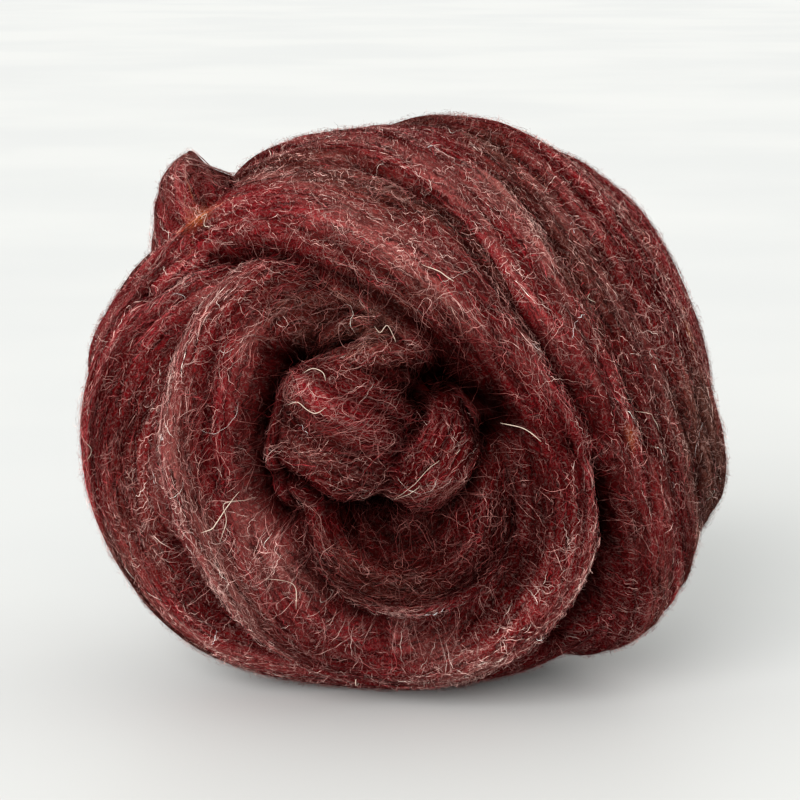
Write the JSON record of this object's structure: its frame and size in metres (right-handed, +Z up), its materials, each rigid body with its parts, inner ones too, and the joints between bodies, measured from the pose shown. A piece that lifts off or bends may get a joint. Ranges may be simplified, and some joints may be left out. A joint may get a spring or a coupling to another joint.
{
  "type": "ball of wool roving",
  "caption": "Ball of loosely wound carded wool roving, with a coiled end face and broad slanting turns, for spinning or felting.",
  "frame": {"origin": "on the surface that the ball rests on, under the middle of the ball's box", "axes": "+Z up, the coiled end face towards -Y, +X to the right when looking at that face"},
  "size_m": [0.1386, 0.119, 0.1214],
  "materials": {
    "wool": "heathered dark red carded wool, matt and hairy"
  },
  "bodies": {
    "root": {"roving_ball": "wool"}
  },
  "joints": []
}
